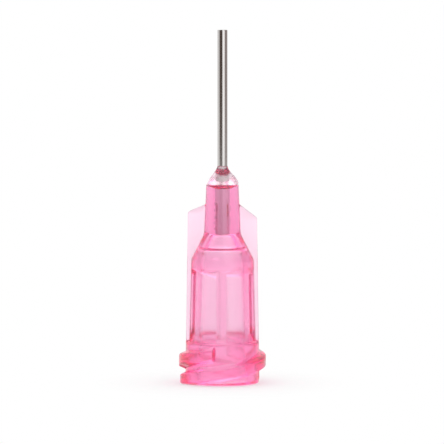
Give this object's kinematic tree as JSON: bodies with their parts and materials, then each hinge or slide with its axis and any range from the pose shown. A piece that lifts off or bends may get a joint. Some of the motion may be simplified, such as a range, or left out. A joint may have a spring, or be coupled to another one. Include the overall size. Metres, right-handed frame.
{
  "type": "dispensing needle tip",
  "caption": "Blunt steel dispensing tube bonded into a translucent pink hub with side wings, a taper socket and a lock thread.",
  "frame": {"origin": "centre of the hub's mouth face, on the surface it stands on", "axes": "+Z along the tube towards its free end, +X and -X through the two wings"},
  "size_m": [0.0078, 0.0078, 0.032],
  "materials": {
    "hub_plastic": "translucent pink polypropylene, as moulded, glossy with a faint milkiness",
    "tube_steel": "drawn stainless tube, bright with fine lengthwise drawing lines, honed end",
    "adhesive_resin": "clear cured resin, wet gloss, with a few small bubbles"
  },
  "bodies": {
    "root": {"hub": "hub_plastic", "tube": "tube_steel", "adhesive": "adhesive_resin"}
  },
  "joints": []
}
